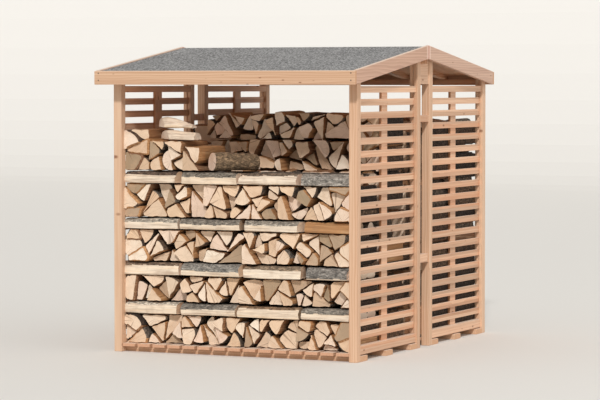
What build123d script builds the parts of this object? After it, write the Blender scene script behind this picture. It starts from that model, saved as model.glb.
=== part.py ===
from build123d import *
import math
import os
import random

# Driving sizes in millimetres. X runs along the open front, Y from front to back, Z is up.
roof_width = 1870.0
roof_depth = 2450.0
ridge_height = 2030.0
roof_rise = 173.0

# Posts and the gap between the two framed elements of each gable
post_size = 57.0
side_overhang = 56.0
front_overhang = 160.0
gable_gap = 156.0

# Trim boards: fascias along the eaves and barge boards up the gables
trim_thickness = 22.0
trim_width = 90.0
apex_joint = 0.6

# Roof layers, each measured square to the slope, from the top edge of the barge boards down
barge_lip = 8.0
felt_thickness = 3.0
deck_thickness = 18.0
deck_gap = 1.3
deck_board_count = 20
rafter_depth = 34.0
rafter_width = 45.0
rafter_count = 7
ridge_beam_thickness = 32.0
ridge_beam_depth = 95.0
eaves_beam_thickness = 45.0
eaves_beam_height = 34.0

# Lattice sides: slats let into a groove down each post, two rails and a flat batten behind
slat_count = 19
slat_height = 43.0
slat_thickness = 12.0
slat_setback = 26.0
groove_depth = 8.0
groove_clearance = 0.3
batten_width = 95.0
batten_thickness = 18.0
rail_thickness = 45.0
bottom_rail_bottom = 43.0
bottom_rail_height = 57.0
top_rail_drop = 99.0
top_rail_height = 42.0

# Blocks that tie the two elements of a gable together
block_thickness = 44.0
block_setback = 6.0
upper_block_drop = 296.0
upper_block_height = 45.0
lower_block_top = 627.0
lower_block_height = 57.0
ridge_block_drop = 87.0

# Floor: bearers across the width, boards from front to back
bearer_height = 36.0
bearer_width = 112.0
floor_board_thickness = 20.0
floor_board_count = 15
floor_gap = 21.0
floor_side_clearance = 4.0
floor_end_setback = 5.0

# Firewood
log_length = 430.0
log_row_gap = 12.0
stack_front_setback = 32.0
stack_side_clearance = 4.0
seat_gap = 0.3
binder_joints = [-400.0, 18.0, 460.0]
binder_ranks = 3
end_on_heights = [194.0, 174.0, 212.0, 223.0]
binder_heights = [86.0, 90.0, 80.0, 85.0]
pile_step_widths = [164.0, 255.0, 123.0]
pile_step_heights = [300.0, 200.0, 165.0]
seen_section = 15500.0
rear_section = 32000.0
hidden_section = 105000.0
smallest_section = 900.0
layer_height = 230.0
shortest_side = 5.0
hidden_shortest_side = 14.0
bark_sides = 20
dome_sides = 6
dome_edge = 0.12
second_row_top = 1600.0
second_row_left = -450.0
second_row_low_top = 1320.0
row_step = 18.0
ragged_top = 60.0
ragged_tilt = 0.25
random_seed = 43

# How uneven the split logs are: shares of a section or a radius, an angle, and lengths
section_spread = (0.45, 1.1)
cut_lean = 26.0
cut_shift = 0.13
wedge_share = 0.52
half_share = 0.24
wedge_bark = (0.73, 0.88)
half_bark = (0.75, 0.91)
squared_bark = (0.73, 0.87)
end_set_back = 30.0
end_cut_short = 16.0
binder_cut_shift = 30.0
binder_set_back = (2.0, 12.0)
binder_front_edge = (0.5, 0.75)
binder_front_ridge = (0.2, 0.4)
binder_rear_ridge = (0.6, 0.8)
binder_rear_edge = (0.5, 0.8)

# Two pale logs lie along the width on the pile: left end, set-back, length, width and height
lower_pale_log = (-640.0, 30.0, 324.0, 150.0, 78.0)
upper_pale_log = (-650.0, 60.0, 300.0, 110.0, 82.0)

# A round log in its bark lies askew beside the pile, turned from the width, on a flat of its girth
bark_log = (-213.0, 72.0, 340.0, 140.0, 138.0)
bark_log_turn = 57.0
bark_log_flat = 60.0

# Worked out from the sizes above
half_width = roof_width / 2
half_depth = roof_depth / 2
eaves_height = ridge_height - roof_rise
post_outer = half_width - side_overhang
post_inner = post_outer - post_size
barge_inner = half_width - trim_thickness
fascia_inner = half_depth - trim_thickness
wall_front = front_overhang - half_depth
wall_rear = fascia_inner
element_length = (wall_rear - wall_front - gable_gap) / 2
slope = roof_rise / half_depth
slope_cos = math.cos(math.atan(slope))
deck_top = barge_lip + felt_thickness
deck_underside = deck_top + deck_thickness
rafter_underside = deck_underside + rafter_depth
slat_outer = post_outer - slat_setback
slat_inner = slat_outer - slat_thickness
batten_inner = slat_inner - batten_thickness
floor_top = bearer_height + floor_board_thickness
top_rail_top = eaves_height - top_rail_drop
upper_block_top = eaves_height - upper_block_drop
ridge_block_bottom = eaves_height - ridge_block_drop
slats_bottom = bottom_rail_bottom + bottom_rail_height
slats_top = top_rail_top - top_rail_height
slat_gap = (slats_top - slats_bottom - slat_count * slat_height) / (slat_count + 1)
ridge_beam_bottom = ridge_height - ridge_beam_depth - deck_underside

# Front faces of the four posts of a gable, from front to back
post_fronts = [
    wall_front,
    wall_front + element_length - post_size,
    wall_front + element_length + gable_gap,
    wall_rear - post_size,
]
post_names = ["front_corner_post", "front_middle_post", "rear_middle_post", "rear_corner_post"]
beam_front = post_fronts[1] + post_size
beam_rear = beam_front + ridge_beam_thickness

parts = {}


def roof_line(y, below):
    """Height, at depth y, of the roof layer that lies `below` mm under the barge boards' top edge."""
    return ridge_height - slope * abs(y) - below / slope_cos


def block(x0, x1, y0, y1, z0, z1):
    return Pos(x0, y0, z0) * Box(x1 - x0, y1 - y0, z1 - z0, align=(Align.MIN, Align.MIN, Align.MIN))


def along_x(points, x0, x1):
    """Solid with a profile of (y, z) points, drawn from x0 to x1."""
    return extrude(Plane.YZ.offset(x0) * Polygon(*points, align=None), x1 - x0, dir=(1, 0, 0))


def along_y(points, y0, y1):
    """Solid with a profile of (x, z) points, drawn from y0 to y1."""
    return extrude(Plane.XZ.offset(-y0) * Polygon(*points, align=None), y1 - y0, dir=(0, 1, 0))


def sloped_bar(y0, y1, top, bottom, x0, x1):
    """Bar that follows the roof slope between two depths on one side of the ridge, with plumb ends."""
    profile = [
        (y0, roof_line(y0, bottom)),
        (y1, roof_line(y1, bottom)),
        (y1, roof_line(y1, top)),
        (y0, roof_line(y0, top)),
    ]
    return along_x(profile, x0, x1)


def mirror_x(solid, side):
    return solid if side > 0 else mirror(solid, about=Plane.YZ)


def group(solids):
    return Compound(children=[s if isinstance(s, Solid) else s.solid() for s in solids])


# Posts: square, with a bevelled top under the rafters and a groove for the slats
def post(index):
    y0 = post_fronts[index]
    y1 = y0 + post_size
    profile = [
        (y0, 0),
        (y1, 0),
        (y1, roof_line(y1, rafter_underside)),
        (y0, roof_line(y0, rafter_underside)),
    ]
    solid = along_x(profile, post_inner, post_outer)
    groove_y0 = y1 - groove_depth if index % 2 == 0 else y0
    groove = block(
        slat_inner - groove_clearance,
        slat_outer + groove_clearance,
        groove_y0,
        groove_y0 + groove_depth,
        0,
        ridge_height,
    )
    return solid - groove


for side, side_name in ((-1, "left"), (1, "right")):
    for index, name in enumerate(post_names):
        parts[f"{name}_{side_name}"] = mirror_x(post(index), side)


# Lattice panel between two posts: slats let into the posts, two rails and the batten behind them
def slat_panel(first_post):
    y0 = post_fronts[first_post] + post_size
    y1 = post_fronts[first_post + 1]
    reach = groove_depth - groove_clearance
    pieces = [
        block(batten_inner, batten_inner + rail_thickness, y0, y1, bottom_rail_bottom, slats_bottom),
        block(batten_inner, batten_inner + rail_thickness, y0, y1, slats_top, top_rail_top),
    ]
    middle = (y0 + y1) / 2
    pieces.append(
        block(
            batten_inner, slat_inner, middle - batten_width / 2, middle + batten_width / 2,
            slats_bottom, slats_top,
        )
    )
    for k in range(slat_count):
        z0 = slats_bottom + slat_gap + k * (slat_height + slat_gap)
        pieces.append(block(slat_inner, slat_outer, y0 - reach, y1 + reach, z0, z0 + slat_height))
    return pieces


for side, side_name in ((-1, "left"), (1, "right")):
    parts[f"front_slat_panel_{side_name}"] = group([mirror_x(p, side) for p in slat_panel(0)])
    parts[f"rear_slat_panel_{side_name}"] = group([mirror_x(p, side) for p in slat_panel(2)])


# Blocks between the two middle posts of a gable, and the deeper one beside the ridge beam
def tie_blocks():
    y0 = post_fronts[1] + post_size
    y1 = post_fronts[2]
    x1 = post_outer - block_setback
    x0 = x1 - block_thickness
    upper = block(x0, x1, y0, y1, upper_block_top - upper_block_height, upper_block_top)
    lower = block(x0, x1, y0, y1, lower_block_top - lower_block_height, lower_block_top)
    ridge_profile = [
        (y0, ridge_block_bottom),
        (y1, ridge_block_bottom),
        (y1, roof_line(y1, rafter_underside)),
        (beam_rear, roof_line(beam_rear, rafter_underside)),
        (beam_rear, ridge_beam_bottom),
        (y0, ridge_beam_bottom),
    ]
    return [upper, lower, along_x(ridge_profile, x0, x1)]


for side, side_name in ((-1, "left"), (1, "right")):
    parts[f"tie_blocks_{side_name}"] = group([mirror_x(b, side) for b in tie_blocks()])


# Floor bearers lie flat on the ground, one against each post and one under each middle batten
def bearers():
    solids = []
    for first in (0, 2):
        y0 = post_fronts[first] + post_size
        y1 = post_fronts[first + 1] - bearer_width
        for y in (y0, (y0 + y1) / 2, y1):
            solids.append(block(-post_outer, post_outer, y, y + bearer_width, 0, bearer_height))
    return solids


parts["floor_bearers"] = group(bearers())


# Floor boards run from front to back with open gaps
def floor_boards():
    span = 2 * (batten_inner - floor_side_clearance)
    width = (span - (floor_board_count - 1) * floor_gap) / floor_board_count
    y0 = wall_front + floor_end_setback
    y1 = wall_rear - floor_end_setback
    solids = []
    for k in range(floor_board_count):
        x0 = -span / 2 + k * (width + floor_gap)
        solids.append(block(x0, x0 + width, y0, y1, bearer_height, floor_top))
    return solids


parts["floor_boards"] = group(floor_boards())


# Beams along the width: one at each eaves between the corner posts, one under the ridge
def eaves_beam(outer_y, inner_y):
    bottom = roof_line(outer_y, rafter_underside) - eaves_beam_height
    profile = [
        (outer_y, bottom),
        (inner_y, bottom),
        (inner_y, roof_line(inner_y, rafter_underside)),
        (outer_y, roof_line(outer_y, rafter_underside)),
    ]
    return along_x(profile, -post_inner, post_inner)


parts["front_eaves_beam"] = eaves_beam(wall_front, wall_front + eaves_beam_thickness)
parts["rear_eaves_beam"] = eaves_beam(wall_rear, wall_rear - eaves_beam_thickness)

parts["ridge_beam"] = along_x(
    [
        (beam_front, ridge_beam_bottom),
        (beam_rear, ridge_beam_bottom),
        (beam_rear, roof_line(beam_rear, deck_underside)),
        (0, roof_line(0, deck_underside)),
        (beam_front, roof_line(beam_front, deck_underside)),
    ],
    -barge_inner,
    barge_inner,
)


# Rafters from the ridge beam to the back of each fascia, the outer ones over the posts
def rafters(y_ridge, y_eaves):
    first = -(post_inner + post_outer) / 2
    pitch = -2 * first / (rafter_count - 1)
    solids = []
    for k in range(rafter_count):
        x0 = first + k * pitch - rafter_width / 2
        solids.append(sloped_bar(y_eaves, y_ridge, deck_underside, rafter_underside, x0, x0 + rafter_width))
    return solids


parts["front_rafters"] = group(rafters(beam_front, -fascia_inner))
parts["rear_rafters"] = group(rafters(beam_rear, fascia_inner))


# Roof boards run down the slope; the felt over them is one sheet a slope, mitred at the ridge
def deck(y_eaves):
    pitch = 2 * barge_inner / deck_board_count
    solids = []
    for k in range(deck_board_count):
        x0 = -barge_inner + k * pitch + deck_gap / 2
        solids.append(sloped_bar(y_eaves, 0, deck_top, deck_underside, x0, x0 + pitch - deck_gap))
    return solids


parts["front_roof_boards"] = group(deck(-fascia_inner))
parts["rear_roof_boards"] = group(deck(fascia_inner))
parts["front_roof_felt"] = sloped_bar(-fascia_inner, 0, barge_lip, deck_top, -barge_inner, barge_inner)
parts["rear_roof_felt"] = sloped_bar(fascia_inner, 0, barge_lip, deck_top, -barge_inner, barge_inner)


# Fascias cover the ends of the barge boards
fascia_bottom = eaves_height - trim_width
front_fascia = block(-half_width, half_width, -half_depth, -fascia_inner, fascia_bottom, eaves_height)
parts["front_fascia"] = front_fascia
parts["rear_fascia"] = mirror(front_fascia, about=Plane.XZ)

for side, side_name in ((-1, "left"), (1, "right")):
    for end, end_name in ((-1, "front"), (1, "rear")):
        barge = sloped_bar(end * fascia_inner, end * apex_joint / 2, 0, trim_width, barge_inner, half_width)
        parts[f"{end_name}_barge_board_{side_name}"] = mirror_x(barge, side)


# Firewood cross-sections: a rectangle is shared out between logs, and each is split from a round one
def clip(polygon, px, pz, nx, nz):
    """The part of a convex polygon behind the line through (px, pz) that (nx, nz) is square to."""
    out = []
    for i, (ax, az) in enumerate(polygon):
        bx, bz = polygon[(i + 1) % len(polygon)]
        da = (ax - px) * nx + (az - pz) * nz
        db = (bx - px) * nx + (bz - pz) * nz
        if da <= 0:
            out.append((ax, az))
        if (da < 0 < db) or (db < 0 < da):
            t = da / (da - db)
            out.append((ax + t * (bx - ax), az + t * (bz - az)))
    return out


def area_and_centre(polygon):
    total = cx = cz = 0.0
    for i, (ax, az) in enumerate(polygon):
        bx, bz = polygon[(i + 1) % len(polygon)]
        cross = ax * bz - bx * az
        total += cross / 2
        cx += (ax + bx) * cross / 6
        cz += (az + bz) * cross / 6
    return total, (cx / total, cz / total)


def reach_of(polygon, point):
    return max(math.dist(point, corner) for corner in polygon)


def inset(polygon, distance):
    """The convex polygon with every side moved in."""
    area, (cx, cz) = area_and_centre(polygon)
    out = list(polygon)
    for i, (ax, az) in enumerate(polygon):
        bx, bz = polygon[(i + 1) % len(polygon)]
        length = math.hypot(bx - ax, bz - az)
        nx, nz = (bz - az) / length, (ax - bx) / length
        if (cx - ax) * nx + (cz - az) * nz > 0:
            nx, nz = -nx, -nz
        out = clip(out, ax - nx * distance, az - nz * distance, nx, nz)
    return out


def tidy(polygon, shortest):
    """The polygon without points that lie closer than `shortest` to the one before."""
    out = []
    for point in polygon:
        if not out or math.dist(point, out[-1]) >= shortest:
            out.append(point)
    while len(out) > 3 and math.dist(out[0], out[-1]) < shortest:
        out.pop()
    return out


def cleave(rng, section, largest):
    """Splits a section across its length, again and again, until each piece is one log."""
    area, (cx, cz) = area_and_centre(section)
    if area < largest * rng.uniform(*section_spread):
        return [section]
    a, b = max(((p, q) for p in section for q in section), key=lambda pair: math.dist(*pair))
    heading = math.atan2(b[1] - a[1], b[0] - a[0]) + math.radians(rng.uniform(-cut_lean, cut_lean))
    nx, nz = math.cos(heading), math.sin(heading)
    shift = rng.uniform(-cut_shift, cut_shift) * math.dist(a, b)
    px, pz = cx + nx * shift, cz + nz * shift
    halves = clip(section, px, pz, nx, nz), clip(section, px, pz, -nx, -nz)
    return cleave(rng, halves[0], largest) + cleave(rng, halves[1], largest)


def sharpest_corner(section):
    def opening(i):
        ax, az = section[i - 1]
        bx, bz = section[i]
        cx, cz = section[(i + 1) % len(section)]
        turn = math.atan2(az - bz, ax - bx) - math.atan2(cz - bz, cx - bx)
        return abs((turn + math.pi) % math.tau - math.pi)

    return section[min(range(len(section)), key=opening)]


def middle_of_longest_side(section):
    i = max(range(len(section)), key=lambda i: math.dist(section[i], section[i - 1]))
    (ax, az), (bx, bz) = section[i - 1], section[i]
    return (ax + bx) / 2, (az + bz) / 2


def rounded(section, pith, radius):
    """The section within a round log of this radius about its pith, drawn with flat sides."""
    for k in range(bark_sides):
        angle = math.tau * (k + 0.5) / bark_sides
        nx, nz = math.cos(angle), math.sin(angle)
        section = clip(section, pith[0] + radius * nx, pith[1] + radius * nz, nx, nz)
    return section


def split_from_round(rng, section):
    """The section as it is split from a round log: a wedge, a half or a squared piece."""
    kind = rng.random()
    if kind < wedge_share:
        pith, bark = sharpest_corner(section), wedge_bark
    elif kind < wedge_share + half_share:
        pith, bark = middle_of_longest_side(section), half_bark
    else:
        pith, bark = area_and_centre(section)[1], squared_bark
    return rounded(section, pith, reach_of(section, pith) * rng.uniform(*bark))


def stack_block(rng, x0, x1, z0, z1, y0, largest, shortest, ragged):
    """End-on logs in layers that fill a rectangle; the top ones end up to `ragged` mm lower."""
    layers = max(1, round((z1 - z0) / layer_height))
    cells = []
    for layer in range(layers):
        low = z0 + (z1 - z0) * layer / layers
        high = z0 + (z1 - z0) * (layer + 1) / layers
        cells += cleave(rng, [(x0, low), (x1, low), (x1, high), (x0, high)], largest)
    solids = []
    for cell in cells:
        section = inset(cell, seat_gap / 2)
        if ragged and max(z for x, z in section) > z1 - 1:
            top = z1 - rng.uniform(0, ragged)
            centre = area_and_centre(section)[1]
            section = clip(section, centre[0], top, rng.uniform(-ragged_tilt, ragged_tilt), 1)
            if len(section) < 3:
                continue
        section = tidy(split_from_round(rng, section), shortest)
        front = y0 + rng.uniform(0, end_set_back)
        back = y0 + log_length - rng.uniform(0, end_cut_short)
        if len(section) > 2 and area_and_centre(section)[0] > smallest_section:
            solids.append(along_y(section, front, back))
    return solids


def binder_course(rng, z0, z1, y0):
    """Split logs laid along the width, in ranks from front to back, bark side up."""
    x0 = stack_side_clearance - batten_inner
    x1 = batten_inner - stack_side_clearance
    rank_depth = log_length / binder_ranks
    solids = []
    for rank in range(binder_ranks):
        cuts = [x0]
        for joint in binder_joints:
            cuts.append(joint + rng.uniform(-binder_cut_shift, binder_cut_shift))
        cuts.append(x1)
        front = y0 + rank * rank_depth
        for k in range(len(cuts) - 1):
            low = z0 + seat_gap / 2
            high = z1 - seat_gap / 2
            tall = high - low
            rear = front + rank_depth - seat_gap
            profile = [
                (front + (rng.uniform(*binder_set_back) if rank == 0 else 0), low),
                (rear, low),
                (rear, low + tall * rng.uniform(*binder_rear_edge)),
                (front + rank_depth * rng.uniform(*binder_rear_ridge), high),
                (front + rank_depth * rng.uniform(*binder_front_ridge), high),
                (front, low + tall * rng.uniform(*binder_front_edge)),
            ]
            solids.append(along_x(profile, cuts[k] + seat_gap / 2, cuts[k + 1] - seat_gap / 2))
    return solids


stack_left = stack_side_clearance - batten_inner
stack_right = -stack_left
stack_front = wall_front + stack_front_setback
row_pitch = log_length + log_row_gap
log_row_count = int((wall_rear - stack_front) / row_pitch)
rng = random.Random(random_seed)

# Front row: end-on courses with binder courses between them, then the loose pile on the left
level = floor_top + seat_gap / 2
for course, (end_on, binder) in enumerate(zip(end_on_heights, binder_heights), start=1):
    logs = stack_block(
        rng, stack_left, stack_right, level, level + end_on, stack_front, seen_section, shortest_side, 0
    )
    parts[f"firewood_front_course_{course}"] = group(logs)
    level += end_on
    logs = binder_course(rng, level, level + binder, stack_front)
    parts[f"firewood_binder_course_{course}"] = group(logs)
    level += binder
pile_bottom = level

logs = []
step_left = stack_left
for width, height in zip(pile_step_widths, pile_step_heights):
    logs += stack_block(
        rng, step_left, step_left + width, pile_bottom, pile_bottom + height,
        stack_front, seen_section, shortest_side, 0,
    )
    step_left += width
parts["firewood_front_pile"] = group(logs)


def pale_log(log, z0):
    """A split log with a domed back, along the width."""
    left, setback, length, width, height = log
    y0 = stack_front + setback
    points = [(y0 + width, z0), (y0, z0)]
    for k in range(dome_sides + 1):
        angle = math.pi * k / dome_sides
        edge = height * dome_edge
        points.append((y0 + width / 2 * (1 - math.cos(angle)), z0 + edge + (height - edge) * math.sin(angle)))
    return along_x(points, left, left + length)


def round_log(log, turn, z0):
    """A round log with a narrow flat under it, turned about its near end."""
    left, setback, length, width, height = log
    round_sides = round(bark_sides * (1 - bark_log_flat / 360)) - 1
    points = []
    for k in range(round_sides + 1):
        angle = math.radians(bark_log_flat / 2 - 90 + (360 - bark_log_flat) * k / round_sides)
        points.append((width / 2 * math.cos(angle), height / 2 * math.sin(angle)))
    seat = min(z for y, z in points)
    points = [(y, z - seat) for y, z in points]
    return Pos(left, stack_front + setback, z0) * Rot(0, 0, turn) * along_x(points, 0, length)


lower_log_bottom = pile_bottom + pile_step_heights[1] + seat_gap
upper_log_bottom = lower_log_bottom + lower_pale_log[4] + seat_gap
parts["firewood_loose_logs"] = group(
    [
        pale_log(lower_pale_log, lower_log_bottom),
        pale_log(upper_pale_log, upper_log_bottom),
        round_log(bark_log, bark_log_turn, pile_bottom + seat_gap),
    ]
)

# Rows behind the front one: thick logs where only their sides show, split ones where their ends do
for row in range(1, log_row_count):
    y0 = stack_front + row * row_pitch
    row_top = second_row_top - (row - 1) * row_step
    row_bottom = floor_top + seat_gap / 2
    hidden = (hidden_section, hidden_shortest_side)
    if row == 1:
        logs = stack_block(rng, stack_left, stack_right, row_bottom, pile_bottom, y0, *hidden, 0)
        logs += stack_block(
            rng, stack_left, second_row_left, pile_bottom, second_row_low_top,
            y0, seen_section, shortest_side, 0,
        )
        logs += stack_block(
            rng, second_row_left, stack_right, pile_bottom, row_top,
            y0, seen_section, shortest_side, ragged_top,
        )
    else:
        size = hidden if row + 1 < log_row_count else (rear_section, shortest_side)
        logs = stack_block(rng, stack_left, stack_right, row_bottom, row_top, y0, *size, ragged_top)
    parts[f"firewood_row_{row + 1}"] = group(logs)

os.makedirs("parts", exist_ok=True)
for name, shape in parts.items():
    export_step(shape, f"parts/{name}.step")
print(len(parts), "nodes,", sum(len(s.solids()) for s in parts.values()), "solids")
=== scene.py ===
import math
import random

import bpy
from mathutils import Matrix, Vector, noise


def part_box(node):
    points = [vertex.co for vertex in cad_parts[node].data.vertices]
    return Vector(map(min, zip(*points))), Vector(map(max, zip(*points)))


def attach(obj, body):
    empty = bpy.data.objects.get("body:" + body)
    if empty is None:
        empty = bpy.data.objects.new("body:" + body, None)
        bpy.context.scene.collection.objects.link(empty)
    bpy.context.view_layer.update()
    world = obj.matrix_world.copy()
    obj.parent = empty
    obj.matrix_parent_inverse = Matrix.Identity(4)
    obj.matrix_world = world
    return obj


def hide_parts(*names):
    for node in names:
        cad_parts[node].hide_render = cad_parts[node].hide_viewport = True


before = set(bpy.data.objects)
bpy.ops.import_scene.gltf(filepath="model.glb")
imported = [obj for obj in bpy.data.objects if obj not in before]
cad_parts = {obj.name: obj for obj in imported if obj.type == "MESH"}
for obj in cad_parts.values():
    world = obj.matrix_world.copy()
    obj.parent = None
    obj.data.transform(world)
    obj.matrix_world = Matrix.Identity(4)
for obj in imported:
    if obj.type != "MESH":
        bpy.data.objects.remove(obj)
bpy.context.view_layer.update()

# Floor
# Six sawn fir bearers lie flat on the ground across the store, and fifteen sawn fir boards are
# nailed over them from front to back with open gaps, so that air comes up under the firewood.
SAWN_ARRIS = 0.0012
FACES_JOIN = 0.00002
# a cell holds one board of its node, so that each has its own piece of the grain; in a direction
# in which boards aren't told apart, one cell takes in the whole store
WHOLE = 9.0
OUTSIDE = -5.0
BEARER_CELL = 0.2
BEARER_START = 0.03
FLOOR_BOARD_PITCH = 0.1099
FLOOR_BOARD_START = -0.8295


def linear(code):
    """The linear colour of an sRGB hex code such as 'd9ae8c'."""
    parts = [int(code[i:i + 2], 16) / 255 for i in (0, 2, 4)]
    return tuple(c / 12.92 if c <= 0.04045 else ((c + 0.055) / 1.055) ** 2.4 for c in parts) + (1.0,)


def add(tree, kind, inputs=None, **settings):
    """Adds a node, sets its options, and fills its inputs with values or links.

    Of a Map Range, inputs 1 and 2 are what comes in and 3 and 4 what goes out. Of a colour Mix,
    input 0 is the share of the second colour, and 6 and 7 are the two colours.
    """
    made = tree.nodes.new("ShaderNode" + kind)
    for option, value in settings.items():
        setattr(made, option, value)
    for socket, value in (inputs or {}).items():
        if isinstance(value, bpy.types.NodeSocket):
            tree.links.new(value, made.inputs[socket])
        else:
            made.inputs[socket].default_value = value
    return made


def new_finish(name):
    """A new material, with its node tree and its shader."""
    material = bpy.data.materials.new(name)
    material.use_nodes = True
    return material, material.node_tree, material.node_tree.nodes["Principled BSDF"]


def fir(
    name, grain, early, late, end, pitch, start, rough,
    saw_marks=0.0, batten=None, varied=0.2, knots=1.0,
):
    """Fir: pale earlywood and redder latewood in bands along the grain, small knots, dark end grain.

    The bands are 16 to 24 mm wide, about three times a real growth ring, so that they show. Boards
    are told apart by `pitch` and `start`, and `varied` is how much their tones differ. With `knots`
    at 1 there is a knot in every few hundred millimetres, and a higher number brings them closer.
    """
    material, tree, shader = new_finish(name)
    place = add(tree, "TexCoord").outputs["Object"]

    # each board has its own tone and its own piece of the grain
    cell = add(tree, "VectorMath", {0: place, 1: start}, operation="SUBTRACT").outputs[0]
    cell = add(tree, "VectorMath", {0: cell, 1: pitch}, operation="DIVIDE").outputs[0]
    cell = add(tree, "VectorMath", {0: cell}, operation="FLOOR").outputs[0]
    chance = add(tree, "TexWhiteNoise", {"Vector": cell}, noise_dimensions="3D").outputs
    shift = add(tree, "VectorMath", {0: chance["Color"], "Scale": 9.0}, operation="SCALE").outputs[0]

    axes = add(tree, "SeparateXYZ", {0: place}).outputs
    order = {"X": (0, 1, 2), "Y": (1, 0, 2), "Z": (2, 0, 1)}
    along = add(tree, "CombineXYZ", {k: axes[i] for k, i in enumerate(order[grain])}).outputs[0]
    if batten:
        # the flat batten behind the slats has its grain upright
        reach, low, high = batten
        upright = add(tree, "CombineXYZ", {k: axes[i] for k, i in enumerate(order["Z"])}).outputs[0]
        side = add(tree, "Math", {0: axes[0]}, operation="ABSOLUTE").outputs[0]
        side = add(tree, "Math", {0: side, 1: reach}, operation="LESS_THAN").outputs[0]
        over = add(tree, "Math", {0: axes[2], 1: low}, operation="GREATER_THAN").outputs[0]
        under = add(tree, "Math", {0: axes[2], 1: high}, operation="LESS_THAN").outputs[0]
        within = add(tree, "Math", {0: over, 1: under}, operation="MULTIPLY").outputs[0]
        within = add(tree, "Math", {0: within, 1: side}, operation="MULTIPLY").outputs[0]
        along = add(tree, "Mix", {0: within, 4: along, 5: upright}, data_type="VECTOR").outputs[1]
    along = add(tree, "VectorMath", {0: along, 1: shift}, operation="ADD").outputs[0]

    # 42 bands to the metre, or 24 mm each, run for over a metre; 240 fibres, or 4 mm each
    stretched = add(tree, "VectorMath", {0: along, 1: (0.8, 42.0, 42.0)}, operation="MULTIPLY").outputs[0]
    band = add(
        tree, "TexNoise", {"Vector": stretched, "Scale": 1.0, "Detail": 2.0, "Distortion": 0.5},
    ).outputs[0]
    stretched = add(tree, "VectorMath", {0: along, 1: (3.0, 240.0, 240.0)}, operation="MULTIPLY").outputs[0]
    fibre = add(tree, "TexNoise", {"Vector": stretched, "Scale": 1.0, "Detail": 3.0}).outputs[0]
    # growth rings 16 mm apart, long and drawn out as on a board cut beside the heart
    stretched = add(tree, "VectorMath", {0: along, 1: (0.12, 1.0, 1.0)}, operation="MULTIPLY").outputs[0]
    ring = add(
        tree, "TexWave",
        {"Vector": stretched, "Scale": 19.0, "Distortion": 5.0, "Detail": 1.0, "Detail Scale": 1.2},
        wave_type="RINGS", rings_direction="X", wave_profile="SAW",
    ).outputs["Fac"]
    mixed = add(tree, "Math", {0: ring, 1: 0.42, 2: 0.06}, operation="MULTIPLY_ADD").outputs[0]
    mixed = add(tree, "Math", {0: band, 1: 0.62, 2: mixed}, operation="MULTIPLY_ADD").outputs[0]
    mixed = add(tree, "Math", {0: fibre, 1: 0.2, 2: mixed}, operation="MULTIPLY_ADD").outputs[0]
    ramp = add(tree, "ValToRGB", {0: mixed})
    ramp.color_ramp.elements[0].position = 0.32
    ramp.color_ramp.elements[0].color = linear(early)
    ramp.color_ramp.elements[1].position = 0.98
    ramp.color_ramp.elements[1].color = linear(late)
    colour = ramp.outputs[0]

    # knots are red-brown and up to 20 mm long
    stretched = add(tree, "VectorMath", {0: along, 1: (4.5, 2.5, 11.0)}, operation="MULTIPLY").outputs[0]
    knot = add(tree, "TexVoronoi", {"Vector": stretched, "Scale": knots}).outputs["Distance"]
    knot = add(tree, "MapRange", {0: knot, 1: 0.04, 2: 0.1, 3: 0.8, 4: 0.0}).outputs[0]
    colour = add(tree, "Mix", {0: knot, 6: colour, 7: linear("7d4a2c")}, data_type="RGBA").outputs[2]

    # some boards are redder than others, and some darker
    red = add(tree, "SeparateXYZ", {0: chance["Color"]}).outputs[1]
    red = add(tree, "MapRange", {0: red, 1: 0.3, 2: 1.0, 3: 0.0, 4: varied}).outputs[0]
    colour = add(
        tree, "Mix", {0: red, 6: colour, 7: linear("f3cfb4")}, data_type="RGBA", blend_type="MULTIPLY",
    ).outputs[2]
    darkest, palest = 0.98 - 0.4 * varied, 1.02 + 0.2 * varied
    tone = add(tree, "MapRange", {0: chance["Value"], 3: darkest, 4: palest}).outputs[0]
    colour = add(tree, "VectorMath", {0: colour, "Scale": tone}, operation="SCALE").outputs[0]

    # upward faces are painted paler, a painted highlight for light falling from above; end grain drinks in
    # more dirt and is darker
    normal = add(tree, "NewGeometry").outputs["Normal"]
    normal = add(tree, "SeparateXYZ", {0: normal}).outputs
    painted_top_highlight = add(tree, "MapRange", {0: normal[2], 1: 0.2, 2: 0.5, 3: 0.0, 4: 0.6}).outputs[0]
    colour = add(tree, "Mix", {0: painted_top_highlight, 6: colour, 7: linear("f8e6d4")}, data_type="RGBA").outputs[2]
    endwise = add(tree, "Math", {0: normal["XYZ".index(grain)]}, operation="ABSOLUTE").outputs[0]
    endwise = add(tree, "MapRange", {0: endwise, 1: 0.75, 2: 0.9, 3: 0.0, 4: 0.8}).outputs[0]
    colour = add(tree, "Mix", {0: endwise, 6: colour, 7: linear(end)}, data_type="RGBA").outputs[2]
    tree.links.new(colour, shader.inputs["Base Color"])

    # fibres and rings stand up a fraction of a millimetre; saw marks run across, 12 mm apart
    relief = add(tree, "Math", {0: fibre, 1: ring}, operation="ADD").outputs[0]
    if saw_marks:
        cuts = add(
            tree, "TexWave", {"Vector": along, "Scale": 26.0, "Distortion": 2.0}, bands_direction="X",
        ).outputs["Fac"]
        relief = add(tree, "Math", {0: cuts, 1: saw_marks, 2: relief}, operation="MULTIPLY_ADD").outputs[0]
    bump = add(tree, "Bump", {"Height": relief, "Strength": 0.25, "Distance": 0.001}).outputs[0]
    tree.links.new(bump, shader.inputs["Normal"])
    worn = add(tree, "MapRange", {0: fibre, 3: rough - 0.08, 4: rough + 0.1}).outputs[0]
    tree.links.new(worn, shader.inputs["Roughness"])
    shader.inputs["IOR"].default_value = 1.45
    return material


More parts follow.
